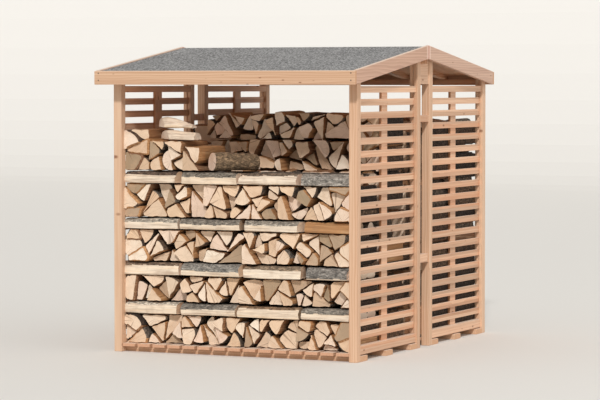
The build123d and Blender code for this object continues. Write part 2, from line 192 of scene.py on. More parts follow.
def dress(node_name, material, arris):
    """Gives a timber of the frame its finish and eases its sharp edges."""
    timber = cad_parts[node_name]
    for slot in timber.material_slots:
        slot.material = material
    weld = timber.modifiers.new("joined_faces", "WELD")
    weld.merge_threshold = FACES_JOIN
    ease = timber.modifiers.new("eased_arris", "BEVEL")
    ease.width = arris
    ease.segments = 2
    ease.limit_method = "ANGLE"
    ease.angle_limit = math.radians(30)


bearer_fir = fir(
    "sawn_fir_bearers", "X", "e6c4a4", "c29675", "d2a582",
    (WHOLE, BEARER_CELL, WHOLE), (OUTSIDE, BEARER_START, OUTSIDE), rough=0.82, saw_marks=0.6,
)
floor_fir = fir(
    "sawn_fir_floor_boards", "Y", "e0b999", "bb8c6b", "cf9f80",
    (FLOOR_BOARD_PITCH, WHOLE, WHOLE), (FLOOR_BOARD_START, OUTSIDE, OUTSIDE), rough=0.82, saw_marks=0.6,
)
dress("floor_bearers", bearer_fir, SAWN_ARRIS)
dress("floor_boards", floor_fir, SAWN_ARRIS)

# Posts
# Eight planed fir posts, 57 mm square, stand on the ground and carry the roof. Each has a groove
# down one face that the slats are let into, and its corners are lightly eased by the planer.
POST_CELL = 0.24
POST_START = -1.12
HALF_STORE = 1.0
PLANED_ARRIS = 0.0022
post_fir = fir(
    "planed_fir_posts", "Z", "e4c5a8", "cba07f", "b0784f",
    (HALF_STORE, POST_CELL, WHOLE), (-HALF_STORE, POST_START, OUTSIDE), rough=0.58, knots=1.5,
)
for place in ("front_corner", "front_middle", "rear_middle", "rear_corner"):
    for side in ("left", "right"):
        dress(f"{place}_post_{side}", post_fir, PLANED_ARRIS)

# Slat panels
# Each side has two panels of nineteen planed fir slats, 43 by 12 mm, let into the posts' grooves.
# A heavier rail closes each panel at the top and bottom, and a flat batten behind keeps the gaps.
SLAT_PITCH = 0.0834
SLAT_START = 0.0785
PANEL_CELL = 1.3
PANEL_START = -1.17
SLAT_ARRIS = 0.0012
# the battens lie within this reach of the middle, from this height up to that one
BATTEN = (0.8408, 0.101, 1.715)
slat_fir = fir(
    "planed_fir_slats", "Y", "e6c2a3", "d2a383", "b0784f",
    (HALF_STORE, PANEL_CELL, SLAT_PITCH), (-HALF_STORE, PANEL_START, SLAT_START),
    rough=0.6, batten=BATTEN, varied=0.5,
)
for place in ("front", "rear"):
    for side in ("left", "right"):
        dress(f"{place}_slat_panel_{side}", slat_fir, SLAT_ARRIS)

# Tie blocks
# Short offcuts of fir between the middle posts tie the front and rear halves of each side:
# one low, one high and one under the roof beside the ridge beam.
OFFCUT_ARRIS = 0.0015
for side in ("left", "right"):
    dress(f"tie_blocks_{side}", slat_fir, OFFCUT_ARRIS)

# Roof frame
# Fir beams run across the store at the two eaves and under the ridge, and light rafters go from
# the ridge beam down to the backs of the fascias.
BEAM_CELL = 0.8
BEAM_START = -1.5
RAFTER_CELL = 0.2815
RAFTER_START = -0.99
BEAM_ARRIS = 0.0015
beam_fir = fir(
    "planed_fir_beams", "X", "ecc5a2", "cc9670", "a06a44",
    (WHOLE, BEAM_CELL, WHOLE), (OUTSIDE, BEAM_START, OUTSIDE), rough=0.62,
)
rafter_fir = fir(
    "planed_fir_rafters", "Y", "ecc5a2", "cc9670", "a06a44",
    (RAFTER_CELL, WHOLE, WHOLE), (RAFTER_START, OUTSIDE, OUTSIDE), rough=0.65,
)
for name in ("front_eaves_beam", "rear_eaves_beam", "ridge_beam"):
    dress(name, beam_fir, BEAM_ARRIS)
for name in ("front_rafters", "rear_rafters"):
    dress(name, rafter_fir, BEAM_ARRIS)

# Roof boards
# Twenty thin sawn boards a slope run down from the ridge, edge to edge over the rafters, and are
# seen only from below. Their colours are paler and more orange than the other fir's: painted light
# standing in for the light thrown up under the roof.
ROOF_BOARD_PITCH = 0.0913
ROOF_BOARD_START = -0.913
ROOF_BOARD_ARRIS = 0.001
# paler, more orange colours here are painted light for the shaded underside of the roof
roof_fir_painted_light = fir(
    "sawn_fir_roof_boards_painted_light", "Y", "fad6b4", "e8ac82", "8f5b3b",
    (ROOF_BOARD_PITCH, WHOLE, WHOLE), (ROOF_BOARD_START, OUTSIDE, OUTSIDE), rough=0.8, saw_marks=0.5,
)
for name in ("front_roof_boards", "rear_roof_boards"):
    dress(name, roof_fir_painted_light, ROOF_BOARD_ARRIS)

# Roofing felt
# Bitumen felt with a grey mineral face, laid in strips across the width and nailed down. The
# granules are under a millimetre; here they are drawn 14 mm wide, 72 to the metre, so that the
# speckle shows.
felt, tree, shader = new_finish("grey_mineral_felt")
place = add(tree, "TexCoord").outputs["Object"]
grit = add(tree, "TexNoise", {"Vector": place, "Scale": 72.0, "Detail": 3.0, "Roughness": 0.7}).outputs[0]
patch = add(tree, "TexNoise", {"Vector": place, "Scale": 2.4, "Detail": 3.0}).outputs[0]
mixed = add(tree, "Math", {0: patch, 1: 0.06, 2: grit}, operation="MULTIPLY_ADD").outputs[0]
ramp = add(tree, "ValToRGB", {0: mixed})
ramp.color_ramp.elements[0].position = 0.42
ramp.color_ramp.elements[0].color = linear("474647")
ramp.color_ramp.elements[1].position = 0.64
ramp.color_ramp.elements[1].color = linear("b2b1b0")
tree.links.new(ramp.outputs[0], shader.inputs["Base Color"])
bump = add(tree, "Bump", {"Height": grit, "Strength": 0.5, "Distance": 0.0015}).outputs[0]
tree.links.new(bump, shader.inputs["Normal"])
shader.inputs["Roughness"].default_value = 0.93
for name in ("front_roof_felt", "rear_roof_felt"):
    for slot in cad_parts[name].material_slots:
        slot.material = felt

# Fascias and barge boards
# Planed fir trim, 90 by 22 mm: a fascia along each eaves, and barge boards up the gables that
# butt at the ridge. The trim stands a little above the felt, and its arrises are well rounded.
FASCIA_CELL = 1.5
FASCIA_START = -1.9
BARGE_CELL = (1.2, 1.25, WHOLE)
BARGE_START = (-1.2, -1.25, OUTSIDE)
TRIM_ARRIS = 0.0035
RIDGE_STRIP_HALF = 0.026
RIDGE_STRIP_MIDDLE = -0.004
fascia_fir = fir(
    "planed_fir_fascias", "X", "deba9a", "c09474", "c08e68",
    (WHOLE, FASCIA_CELL, WHOLE), (OUTSIDE, FASCIA_START, OUTSIDE), rough=0.55, knots=1.7,
)
barge_fir = fir(
    "planed_fir_barge_boards", "Y", "dbb9a2", "b7917d", "a87a55",
    BARGE_CELL, BARGE_START, rough=0.58, knots=1.7,
)
# an upright strip covers the joint of the barge boards at the ridge; it is painted onto them, and the pale
# lines at its eased edges are a painted highlight
tree = barge_fir.node_tree
shader = tree.nodes["Principled BSDF"]
plain = shader.inputs["Base Color"].links[0].from_socket
place = add(tree, "TexCoord").outputs["Object"]
away = add(tree, "SeparateXYZ", {0: place}).outputs[1]
away = add(tree, "Math", {0: away, 1: -RIDGE_STRIP_MIDDLE}, operation="ADD").outputs[0]
away = add(tree, "Math", {0: away}, operation="ABSOLUTE").outputs[0]
edge = add(tree, "Math", {0: away, 1: RIDGE_STRIP_HALF}, operation="SUBTRACT").outputs[0]
strip = add(tree, "Math", {0: edge, 1: 0.0}, operation="LESS_THAN").outputs[0]
strip = add(tree, "Math", {0: strip, 1: 0.5}, operation="MULTIPLY").outputs[0]
# the pale lines along the strip's edges are a painted highlight
edge = add(tree, "Math", {0: edge}, operation="ABSOLUTE").outputs[0]
edge = add(tree, "MapRange", {0: edge, 1: 0.002, 2: 0.005, 3: 0.8, 4: 0.0}).outputs[0]
colour = add(tree, "Mix", {0: strip, 6: plain, 7: linear("d9a898")}, data_type="RGBA").outputs[2]
colour = add(tree, "Mix", {0: edge, 6: colour, 7: linear("f6e2d2")}, data_type="RGBA").outputs[2]
tree.links.new(colour, shader.inputs["Base Color"])
for place in ("front", "rear"):
    dress(f"{place}_fascia", fascia_fir, TRIM_ARRIS)
    for side in ("left", "right"):
        dress(f"{place}_barge_board_{side}", barge_fir, TRIM_ARRIS)

# Firewood
# Split beech, ash and birch: wedges, halves and squared pieces about 400 mm long, stacked end-on
# between courses of logs that lie along the width and bind the stack. Sawn ends are pale and
# checked, split faces are streaked along the grain, and bark is left on the round side.
SEEN_STEP = 0.007
REAR_STEP = 0.0095
HIDDEN_STEP = 0.022
# vertices of the frame that agree to a hundredth of a millimetre are one
PLACES_PER_METRE = 100000
# the stack stops just short of the lattice
STACK_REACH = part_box("front_slat_panel_right")[0][0] - 0.001
END_GRAIN, SPLIT_FACE, BARK = 0, 1, 2


def prisms_of(node_name, axis, turn=0.0):
    """The logs of a node: each one's outline across `axis`, and where it starts and ends.

    A node whose logs lie askew is first turned back about Z by `turn`.
    """
    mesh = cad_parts[node_name].data
    turned_back = Matrix.Rotation(-turn, 3, "Z")
    places = {}
    index = []
    for vertex in mesh.vertices:
        key = tuple(round(c * PLACES_PER_METRE) for c in vertex.co)
        index.append(places.setdefault(key, len(places)))
    points = [None] * len(places)
    for vertex, i in zip(mesh.vertices, index):
        points[i] = tuple(turned_back @ vertex.co)
    owner = list(range(len(points)))

    def root(i):
        while owner[i] != i:
            owner[i] = owner[owner[i]]
            i = owner[i]
        return i

    for polygon in mesh.polygons:
        first = root(index[polygon.vertices[0]])
        for v in polygon.vertices[1:]:
            owner[root(index[v])] = first
    islands = {}
    for i, point in enumerate(points):
        islands.setdefault(root(i), []).append(point)
    across = (1, 2) if axis == 0 else (0, 2)
    logs = []
    for island in islands.values():
        low = min(p[axis] for p in island)
        high = max(p[axis] for p in island)
        outline = [(p[across[0]], p[across[1]]) for p in island if p[axis] - low < FACES_JOIN]
        mid_u = sum(p[0] for p in outline) / len(outline)
        mid_v = sum(p[1] for p in outline) / len(outline)
        outline.sort(key=lambda p: math.atan2(p[1] - mid_v, p[0] - mid_u))
        logs.append((outline, low, high))
    logs.sort(key=lambda log: (round(log[0][0][1], 3), round(log[1], 3), log[0][0]))
    return logs


def bark_sides(outline):
    """Which sides of a split log's outline are short chords of the round log it came from."""
    count = len(outline)
    widest = max(math.dist(a, b) for a in outline for b in outline)
    turns = []
    for i in range(count):
        a, b, c = outline[i - 1], outline[i], outline[(i + 1) % count]
        turn = math.atan2(c[1] - b[1], c[0] - b[0]) - math.atan2(b[1] - a[1], b[0] - a[0])
        turns.append(math.degrees((turn + math.pi) % math.tau - math.pi))
    flags = []
    for i in range(count):
        short = math.dist(outline[i], outline[(i + 1) % count]) < 0.34 * widest
        flags.append(short and (turns[i] < 26 or turns[(i + 1) % count] < 26))
    return flags


def pith_of(outline, bark):
    """The heart of the round log: the corner, side or middle that is equally far from all its bark."""
    count = len(outline)
    middle = (sum(p[0] for p in outline) / count, sum(p[1] for p in outline) / count)
    arcs = [i for i in range(count) if bark[i]]
    if not arcs:
        return middle
    choices = [middle]
    for i in range(count):
        if not bark[i]:
            a, b = outline[i], outline[(i + 1) % count]
            choices += [a, b, ((a[0] + b[0]) / 2, (a[1] + b[1]) / 2)]

    def spread(point):
        away = []
        for i in arcs:
            a, b = outline[i], outline[(i + 1) % count]
            doubled = (b[0] - a[0]) * (a[1] - point[1]) - (a[0] - point[0]) * (b[1] - a[1])
            away.append(abs(doubled) / math.dist(a, b))
        return max(away) - min(away) - 0.02 * min(away)

    return min(choices, key=spread)


class LogPile:
    """Gathers the vertices, faces and colours of the logs of one node."""

    def __init__(self, axis, turn=0.0):
        self.axis = axis
        self.turn = Matrix.Rotation(turn, 3, "Z")
        self.points = []
        self.pith = []
        self.tones = []
        self.tints = []
        self.faces = []
        self.finish = []

    def vertex(self, u, v, along, pith, tones, tint):
        self.points.append(self.turn @ Vector((along, u, v) if self.axis == 0 else (u, along, v)))
        self.pith.append((u - pith[0], v - pith[1], along))
        self.tones.append(tones)
        self.tints.append(tint)
        return len(self.points) - 1

    def face(self, corners, finish):
        self.faces.append(corners if self.axis == 0 else corners[::-1])
        self.finish.append(finish)

    def piece(self, name, materials):
        mesh = bpy.data.meshes.new(name)
        mesh.from_pydata(self.points, [], self.faces)
        for material in materials:
            mesh.materials.append(material)
        mesh.polygons.foreach_set("material_index", self.finish)
        mesh.polygons.foreach_set("use_smooth", [True] * len(self.faces))
        kept = {"from_pith": self.pith, "log_tones_and_painted_shade": self.tones, "bark_tint": self.tints}
        for attribute, values in kept.items():
            made = mesh.attributes.new(attribute, "FLOAT_VECTOR", "POINT")
            made.data.foreach_set("vector", [c for value in values for c in value[:3]])
        mesh.set_sharp_from_angle(angle=math.radians(38))
        mesh.update()
        made = bpy.data.objects.new(name, mesh)
        bpy.context.collection.objects.link(made)
        return made


def shape_log(
    pile, log, bark, stations, step, tones, tint, rough, ends, cuts,
    bark_from=None, heights=(1.0, 1.0), swell=(0.0, 1.0), limits=None,
):
    """One split log: an uneven outline drawn along its length, with sawn ends.

    Bark lies on the sides marked in `bark`, or on all that is higher than `bark_from`. `ends` says
    which ends are seen, `cuts` how far each is sawn out of square, and `heights` how the log's height
    changes along it. `swell` is how much thicker the log grows, and how far in from its ends, within
    `limits`.
    """
    outline = log[0]
    pith = pith_of(outline, bark)
    count = len(outline)
    lowest = min(point[1] for point in outline)

    # the outline is divided and its corners eased, bark most and the flat side at the lattice least
    ring = []
    for i in range(count):
        a, b = outline[i], outline[(i + 1) % count]
        parts = max(1, round(math.dist(a, b) / step))
        for k in range(parts):
            t = k / parts
            u = a[0] + t * (b[0] - a[0])
            v = a[1] + t * (b[1] - a[1])
            covered = bark[i] and (k > 0 or bark[i - 1])
            if bark_from is not None:
                covered = v > lowest + 0.02
            easing = 0.25 if covered else 0.14
            if pile.axis == 1 and abs(u) > STACK_REACH - 0.05:
                easing = 0.03
            ring.append([u, v, bark[i], easing, k == 0 and not covered])
    size = len(ring)
    for _ in range(4):
        before = [(p[0], p[1]) for p in ring]
        for i, point in enumerate(ring):
            left, right = before[i - 1], before[(i + 1) % size]
            point[0] = (1 - 2 * point[3]) * point[0] + point[3] * (left[0] + right[0])
            point[1] = (1 - 2 * point[3]) * point[1] + point[3] * (left[1] + right[1])
    mid_u = sum(p[0] for p in ring) / size
    mid_v = sum(p[1] for p in ring) / size
    seed = tones[0] * 91.7 + tones[1] * 13.1

    slants = []
    for (tilt_u, tilt_v), end, inward in zip(cuts, (stations[0], stations[-1]), (1, -1)):
        deepest = max(abs(tilt_u * (p[0] - mid_u) + tilt_v * (p[1] - mid_v)) for p in ring)
        slants.append((tilt_u, tilt_v, deepest, end, inward))

    def shifted(along, u, v):
        """Where a point lies along the log once its ends are cut out of square."""
        moved = along
        for tilt_u, tilt_v, deepest, end, inward in slants:
            share = max(0.0, 1 - abs(along - end) / max(0.12, 2.6 * deepest))
            moved += inward * share * (deepest + tilt_u * (u - mid_u) + tilt_v * (v - mid_v))
        return moved

    def on_bark(point, along):
        if bark_from is None:
            return point[2]
        return point[1] > bark_from + 0.009 * noise.noise(Vector((along * 12, seed, 0)))

    def hollow(u, v, along, is_bark):
        """How far the surface lies inside the outline: bark in plates, a torn face in long waves."""
        if is_bark:
            wave = noise.noise(Vector((u * 60, v * 60, along * 18 + seed)))
            fine = noise.noise(Vector((u * 190, v * 190, along * 60 + seed)))
            return 0.001 + rough * (0.0022 + 0.0018 * wave + 0.0012 * fine)
        wave = noise.noise(Vector((u * 26 + seed, v * 26, along * 2.2)))
        fine = noise.noise(Vector((u * 120, v * 120 + seed, along * 5)))
        return 0.0014 + rough * (0.004 + 0.006 * wave + 0.0016 * fine)

    loops = []
    length = stations[-1] - stations[0]
    for along in stations:
        place = (along - stations[0]) / length * (len(heights) - 1)
        k = min(int(place), len(heights) - 2)
        height = heights[k] + (place - k) * (heights[k + 1] - heights[k])
        inside = min(along - stations[0], stations[-1] - along)
        loop = []
        for i, point in enumerate(ring):
            u, v, corner = point[0], point[1], point[4]
            left, right = ring[i - 1], ring[(i + 1) % size]
            out_u, out_v = right[1] - left[1], left[0] - right[0]
            span = math.hypot(out_u, out_v) or 1.0
            depth = hollow(u, v, along, on_bark(point, along))
            depth += 0.0012 * corner + 0.001 * (inside < 0.001)
            depth = min(max(depth, 0.0005), 0.3 * math.dist((u, v), (mid_u, mid_v)))
            depth -= swell[0] * min(1.0, inside / swell[1])
            if pile.axis == 1 and abs(u) > STACK_REACH - 0.02:
                depth = 0.2 * depth - 0.004
            u, v = u - out_u / span * depth, v - out_v / span * depth
            v = lowest + (v - lowest) * height
            if limits:
                u = min(max(u, limits[0]), limits[1])
                v = min(max(v, limits[2]), limits[3])
            loop.append((u, v))
        loops.append(loop)

    rows = []
    for along, loop in zip(stations, loops):
        rows.append([pile.vertex(u, v, shifted(along, u, v), pith, tones, tint) for u, v in loop])
    for lower, upper, low, high in zip(rows, rows[1:], stations, stations[1:]):
        for i in range(size):
            j = (i + 1) % size
            finish = BARK if on_bark(ring[i], (low + high) / 2) else SPLIT_FACE
            pile.face((lower[i], lower[j], upper[j], upper[i]), finish)

    # an end that is seen is drawn in circles that sink and rise a few millimetres
    for at_high, along, inward in ((0, stations[0], 1), (1, stations[-1], -1)):
        loop = loops[-at_high]
        end_u = sum(p[0] for p in loop) / size
        end_v = sum(p[1] for p in loop) / size
        circles = [[pile.vertex(u, v, shifted(along, u, v), pith, tones, tint) for u, v in loop]]
        for share in ((0.8, 0.55, 0.28) if ends[at_high] else ()):
            circle = []
            for u, v in loop:
                pu, pv = end_u + (u - end_u) * share, end_v + (v - end_v) * share
                rise = 0.002 + 0.004 * noise.noise(Vector((pu * 24, pv * 24, seed)))
                circle.append(pile.vertex(pu, pv, shifted(along, pu, pv) + inward * rise, pith, tones, tint))
            circles.append(circle)
        sunk = shifted(along, end_u, end_v) + inward * 0.002 * ends[at_high]
        centre = pile.vertex(end_u, end_v, sunk, pith, tones, tint)
        for outer, inner in zip(circles, circles[1:]):
            for i in range(size):
                j = (i + 1) % size
                corners = (outer[j], outer[i], inner[i], inner[j])
                pile.face(corners if at_high == 0 else corners[::-1], END_GRAIN)
        for i in range(size):
            j = (i + 1) % size
            corners = (circles[-1][j], circles[-1][i], centre)
            pile.face(corners if at_high == 0 else corners[::-1], END_GRAIN)


# sawn log ends: cream to peach and a few grey-brown, ringed round the pith, lightly checked; matt
log_ends, tree, shader = new_finish("sawn_log_ends")
from_pith = add(tree, "Attribute", attribute_name="from_pith").outputs["Vector"]
tones = add(tree, "Attribute", attribute_name="log_tones_and_painted_shade").outputs["Vector"]
tone = add(tree, "SeparateXYZ", {0: tones}).outputs[0]
flat = add(tree, "VectorMath", {0: from_pith, 1: (1.0, 1.0, 0.0)}, operation="MULTIPLY").outputs[0]
away = add(tree, "VectorMath", {0: flat}, operation="LENGTH").outputs["Value"]
depth = add(tree, "Math", {0: tone, 1: 83.0}, operation="MULTIPLY").outputs[0]
level = add(tree, "CombineXYZ", {2: depth}).outputs[0]
place = add(tree, "VectorMath", {0: flat, 1: level}, operation="ADD").outputs[0]
ripple = add(tree, "TexNoise", {"Vector": place, "Scale": 22.0, "Detail": 2.0}).outputs[0]
# growth rings drawn 8 mm apart, twice the real spacing, so that they show
ring = add(tree, "Math", {0: ripple, 1: 0.012, 2: away}, operation="MULTIPLY_ADD").outputs[0]
ring = add(tree, "Math", {0: ring, 1: math.tau / 0.008}, operation="MULTIPLY").outputs[0]
ring = add(tree, "Math", {0: ring}, operation="SINE").outputs[0]
ring = add(tree, "MapRange", {0: ring, 1: -1.0, 2: 1.0, 3: 0.0, 4: 0.14}).outputs[0]
base = add(tree, "ValToRGB", {0: tone})
base.color_ramp.elements[0].color = linear("a08b70")
base.color_ramp.elements[1].color = linear("f5e6d2")
for position, code in (
    (0.1, "b89f85"), (0.16, "dfbfa0"), (0.3, "eed8c0"), (0.42, "e2c3a4"),
    (0.55, "f2dfca"), (0.68, "e9cdb8"), (0.8, "efdac2"), (0.9, "e5c4a2"),
):
    element = base.color_ramp.elements.new(position)
    element.color = linear(code)
colour = base.outputs[0]
colour = add(tree, "Mix", {0: ring, 6: colour, 7: linear("b07f52")}, data_type="RGBA").outputs[2]
# brown stains some 80 mm across
stain = add(tree, "TexNoise", {"Vector": place, "Scale": 13.0, "Detail": 4.0}).outputs[0]
stain = add(tree, "MapRange", {0: stain, 1: 0.48, 2: 0.75, 3: 0.0, 4: 0.5}).outputs[0]
colour = add(tree, "Mix", {0: stain, 6: colour, 7: linear("c8a584")}, data_type="RGBA").outputs[2]
# drying checks run out from the pith, because their pattern is read by direction only
heading = add(tree, "VectorMath", {0: flat}, operation="NORMALIZE").outputs[0]
heading = add(tree, "VectorMath", {0: heading, 1: level}, operation="ADD").outputs[0]
check = add(tree, "TexNoise", {"Vector": heading, "Scale": 2.2, "Detail": 1.0}).outputs[0]
check = add(tree, "Math", {0: check, 1: 0.5}, operation="SUBTRACT").outputs[0]
check = add(tree, "Math", {0: check}, operation="ABSOLUTE").outputs[0]
check = add(tree, "MapRange", {0: check, 1: 0.002, 2: 0.008, 3: 0.5, 4: 0.0}).outputs[0]
colour = add(tree, "Mix", {0: check, 6: colour, 7: linear("6d4a30")}, data_type="RGBA").outputs[2]
tree.links.new(colour, shader.inputs["Base Color"])
# the saw leaves a fuzz of 8 mm, coarser than the real one so that it shows
kerf = add(tree, "TexNoise", {"Vector": place, "Scale": 120.0, "Detail": 3.0}).outputs[0]
relief = add(tree, "Math", {0: check, 1: -2.0, 2: kerf}, operation="MULTIPLY_ADD").outputs[0]
bump = add(tree, "Bump", {"Height": relief, "Strength": 0.4, "Distance": 0.0015}).outputs[0]
tree.links.new(bump, shader.inputs["Normal"])
shader.inputs["Roughness"].default_value = 0.85

# split faces: torn fibres that run with the log, orange-brown to cream; matt. The sides of end-on
# logs take the dark orange-brown end as painted shade, and those in the rows behind the front are darker
# still
log_faces, tree, shader = new_finish("split_log_faces")
from_pith = add(tree, "Attribute", attribute_name="from_pith").outputs["Vector"]
tones = add(tree, "Attribute", attribute_name="log_tones_and_painted_shade").outputs["Vector"]
tone = add(tree, "SeparateXYZ", {0: tones}).outputs
depth = add(tree, "Math", {0: tone[0], 1: 83.0}, operation="MULTIPLY").outputs[0]
level = add(tree, "CombineXYZ", {0: depth}).outputs[0]
place = add(tree, "VectorMath", {0: from_pith, 1: level}, operation="ADD").outputs[0]
# 90 streaks to the metre, or 11 mm each, and 200 mm long
stretched = add(tree, "VectorMath", {0: place, 1: (90.0, 90.0, 5.0)}, operation="MULTIPLY").outputs[0]
streak = add(
    tree, "TexNoise", {"Vector": stretched, "Scale": 1.0, "Detail": 4.0, "Distortion": 0.4},
).outputs[0]
blotch = add(tree, "TexNoise", {"Vector": place, "Scale": 14.0, "Detail": 3.0}).outputs[0]
base = add(tree, "ValToRGB", {0: tone[1]})
base.color_ramp.elements[0].color = linear("74503a")
base.color_ramp.elements[1].color = linear("f8ead6")
for position, code in ((0.2, "b28254"), (0.4, "c28f60"), (0.6, "d8b288"), (0.8, "eed9be")):
    element = base.color_ramp.elements.new(position)
    element.color = linear(code)
colour = base.outputs[0]
share = add(tree, "MapRange", {0: streak, 1: 0.42, 2: 0.68, 3: 0.0, 4: 0.55}).outputs[0]
colour = add(tree, "Mix", {0: share, 6: colour, 7: linear("865b39")}, data_type="RGBA").outputs[2]
share = add(tree, "MapRange", {0: streak, 1: 0.3, 2: 0.47, 3: 0.5, 4: 0.0}).outputs[0]
colour = add(tree, "Mix", {0: share, 6: colour, 7: linear("dcb68a")}, data_type="RGBA").outputs[2]
share = add(tree, "MapRange", {0: blotch, 1: 0.52, 2: 0.8, 3: 0.0, 4: 0.4}).outputs[0]
colour = add(tree, "Mix", {0: share, 6: colour, 7: linear("8b6a4c")}, data_type="RGBA").outputs[2]
tree.links.new(colour, shader.inputs["Base Color"])
bump = add(tree, "Bump", {"Height": streak, "Strength": 0.7, "Distance": 0.003}).outputs[0]
tree.links.new(bump, shader.inputs["Normal"])
shader.inputs["Roughness"].default_value = 0.8

# bark: fissured along the log into plates and mottled with pale lichen, very rough
log_bark, tree, shader = new_finish("rough_log_bark")
from_pith = add(tree, "Attribute", attribute_name="from_pith").outputs["Vector"]
tones = add(tree, "Attribute", attribute_name="log_tones_and_painted_shade").outputs["Vector"]
tone = add(tree, "SeparateXYZ", {0: tones}).outputs[0]
tint = add(tree, "Attribute", attribute_name="bark_tint").outputs["Vector"]
depth = add(tree, "Math", {0: tone, 1: 83.0}, operation="MULTIPLY").outputs[0]
level = add(tree, "CombineXYZ", {1: depth}).outputs[0]
place = add(tree, "VectorMath", {0: from_pith, 1: level}, operation="ADD").outputs[0]
bent = add(tree, "TexNoise", {"Vector": place, "Scale": 26.0, "Detail": 2.0}).outputs["Color"]
bent = add(tree, "VectorMath", {0: bent, "Scale": 0.05}, operation="SCALE").outputs[0]
bent = add(tree, "VectorMath", {0: place, 1: bent}, operation="ADD").outputs[0]
# 55 plates to the metre round the log, or 18 mm each, and 70 mm long
stretched = add(tree, "VectorMath", {0: bent, 1: (55.0, 55.0, 14.0)}, operation="MULTIPLY").outputs[0]
plate = add(
    tree, "TexVoronoi", {"Vector": stretched, "Scale": 1.0}, feature="DISTANCE_TO_EDGE",
).outputs[0]
plate = add(tree, "MapRange", {0: plate, 1: 0.02, 2: 0.22, 3: 0.0, 4: 1.0}).outputs[0]
# lichen in patches of 25 mm
patch = add(tree, "TexNoise", {"Vector": place, "Scale": 40.0, "Detail": 5.0, "Roughness": 0.62}).outputs[0]
shade = add(tree, "MapRange", {0: patch, 1: 0.34, 2: 0.66, 3: 0.45, 4: 1.6}).outputs[0]
deep = add(tree, "MapRange", {0: plate, 3: 0.55, 4: 1.0}).outputs[0]
shade = add(tree, "Math", {0: shade, 1: deep}, operation="MULTIPLY").outputs[0]
colour = add(tree, "VectorMath", {0: tint, "Scale": shade}, operation="SCALE").outputs[0]
tree.links.new(colour, shader.inputs["Base Color"])
relief = add(tree, "Math", {0: patch, 1: 0.8, 2: plate}, operation="MULTIPLY_ADD").outputs[0]
bump = add(tree, "Bump", {"Height": relief, "Strength": 0.9, "Distance": 0.004}).outputs[0]
tree.links.new(bump, shader.inputs["Normal"])
shader.inputs["Roughness"].default_value = 0.95


def finish_pile(pile, node_name):
    """Makes the logs one piece that stands for the node."""
    made = pile.piece(node_name + "_split", [log_ends, log_faces, log_bark])
    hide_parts(node_name)
    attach(made, "root")


def evenly(low, high, spacing):
    """Stations from one end of a log to the other, about `spacing` apart."""
    parts = round((high - low) / spacing)
    return [low + (high - low) * k / parts for k in range(parts + 1)]


# end-on logs, seen at their sawn ends; about two in five lie a few centimetres further in, and
# those beside the lattice mostly turn their bark to it, and that bark is tinted dark brown as painted shade
BARKS = [linear(code) for code in ("75675a", "57483b", "7d6450", "8b8073", "625447", "7d6d5e")]
PAINTED_SHADE_BARKS = ("45352a", "5a4434", "372b23", "6e5743")
END_ON = {
    "firewood_front_course_1": "front", "firewood_front_course_2": "front",
    "firewood_front_course_3": "front", "firewood_front_course_4": "front",
    "firewood_front_pile": "front", "firewood_row_2": "front",
    "firewood_row_3": "inner", "firewood_row_4": "inner", "firewood_row_5": "rear",
}
# places along a log near its sawn end
NEAR_END = [0.0, 0.002, 0.012, 0.035, 0.08, 0.14]
SWELL_DEPTH = 0.08
SET_BACK_SHARE = 0.42
SET_BACK = (0.018, 0.06)
FLUSH = (0.0, 0.01)
SETTLED = 0.009
# a side this near to the lattice faces it, and a log this near to it is beside it
FACES_LATTICE = 0.02
BESIDE_LATTICE = {"front": 0.03, "inner": 0.12, "rear": 0.12}
DARK_SHARE = 0.9
